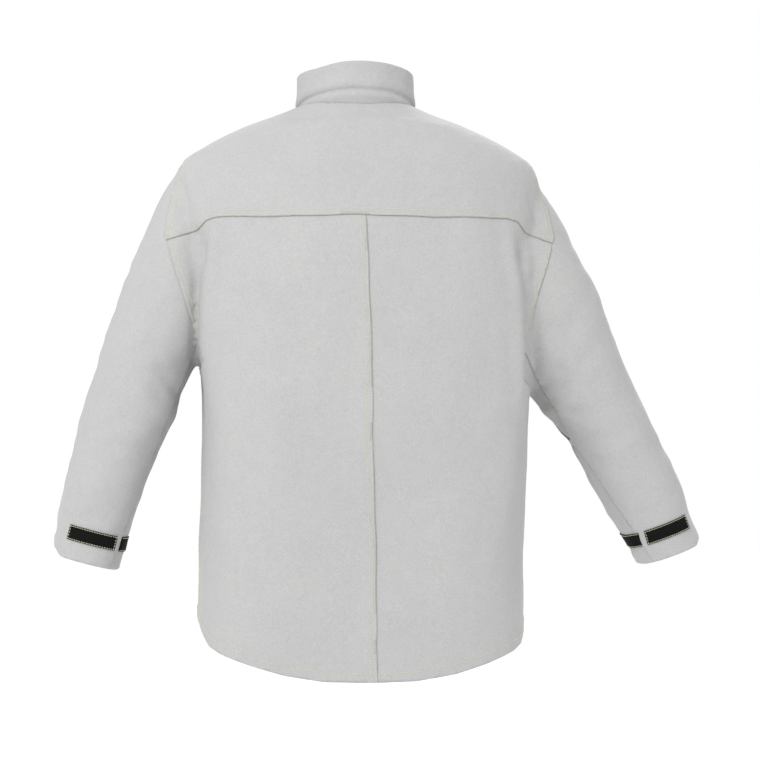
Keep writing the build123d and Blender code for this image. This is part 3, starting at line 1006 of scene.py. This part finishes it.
def lathe(profile, origin, axis, points, faces, count=40):
    """Add a turned solid: the profile is (radius, height along the axis), from base to crown."""
    axis = np.array(axis, float) / np.linalg.norm(axis)
    side = np.cross(axis, (0, 0, 1))
    side /= np.linalg.norm(side)
    other = np.cross(axis, side)
    start = len(points)
    for radius, height in profile:
        for k in range(count):
            angle = 2 * math.pi * k / count
            points.append(np.array(origin) + axis * height
                          + (side * math.cos(angle) + other * math.sin(angle)) * max(radius, 0.01))
    for i in range(len(profile) - 1):
        for k in range(count):
            m = (k + 1) % count
            faces.append((start + i * count + k, start + i * count + m,
                          start + (i + 1) * count + m, start + (i + 1) * count + k))


CAP = [(0, 4.4), (7.0, 4.4), (7.5, 4.7), (7.6, 5.3), (7.3, 5.8), (6.7, 6.0), (6.3, 5.85), (5.9, 5.95),
       (5.0, 6.6), (3.6, 7.15), (1.9, 7.4), (0, 7.5)]
SOCKET = [(2.3, 3.3), (5.3, 3.3), (5.5, 3.0), (5.5, 1.6), (5.1, 1.3), (4.2, 1.25), (3.9, 1.6), (3.2, 1.6),
          (2.9, 1.2), (2.4, 1.2), (2.3, 3.3)]
STUD = [(0, -0.2), (5.4, -0.2), (5.5, 0.3), (5.2, 0.8), (3.0, 0.9), (1.9, 1.2), (1.7, 1.8), (2.1, 2.4),
        (1.8, 2.8), (0, 2.9)]
POST = [(0, -4.6), (3.0, -4.6), (5.0, -4.4), (5.5, -4.0), (5.4, -3.5), (1.2, -3.4), (1.1, -0.2), (0, -0.2)]
front_snaps = [cast((SNAP_X, -400, SNAP_TOP - SNAP_PITCH * i), (0, 1, 0)) for i in range(SNAPS)]
throat_angle = -math.acos(-22 / 80.3)
throat_place = neck_point(throat_angle, -11, 0.4)
throat_out = neck_point(throat_angle, -11, 5) - throat_place
for profile, name, throat_name, body, throat_body in (
        (CAP, "snap_caps", "throat_cap", "left_front", "throat_strap"),
        (SOCKET, "snap_sockets", "throat_socket", "left_front", "throat_strap"),
        (STUD, "snap_studs", "throat_stud", "right_front", "root"),
        (POST, "snap_posts", "throat_post", "right_front", "root")):
    points, faces = [], []
    for place, out in front_snaps:
        lathe(profile, place, out, points, faces)
    make(name, points, faces, METAL, body, [name])
    points, faces = [], []
    lathe(profile, throat_place, throat_out, points, faces)
    make(throat_name, points, faces, METAL, throat_body, [throat_name])

# ---------------------------------------------------------------- surroundings
scene.view_settings.view_transform = "Standard"
world = bpy.data.worlds.new("world")
world.use_nodes = True
world.node_tree.nodes["Background"].inputs["Color"].default_value = (1, 1, 1, 1)
world.node_tree.nodes["Background"].inputs["Strength"].default_value = 1.0
scene.world = world


def soft_light(name, place, size, energy):
    data = bpy.data.lights.new(name, "AREA")
    data.size = size
    data.energy = energy
    light = bpy.data.objects.new(name, data)
    scene.collection.objects.link(light)
    light.location = place
    light.rotation_euler = (Vector(place) - Vector((0, 0, -0.35))).to_track_quat("Z", "Y").to_euler()


soft_light("key", (1.5, 2.4, 1.9), 0.9, 68)
soft_light("front_key", (-1.0, -2.6, 1.7), 1.0, 50)

FLOOR_Z = -1.25
floor_mesh = bpy.data.meshes.new("floor")
floor_corners = [(x, y, FLOOR_Z) for x, y in ((-9, -9), (9, -9), (9, 9), (-9, 9))]
floor_mesh.from_pydata(floor_corners, [], [(0, 1, 2, 3)])
floor = bpy.data.objects.new("floor", floor_mesh)
scene.collection.objects.link(floor)
floor_paint, _, floor_shader = nodes_of("floor")
floor_shader.inputs["Base Color"].default_value = (1, 1, 1, 1)
floor_shader.inputs["Roughness"].default_value = 0.9
floor_mesh.materials.append(floor_paint)
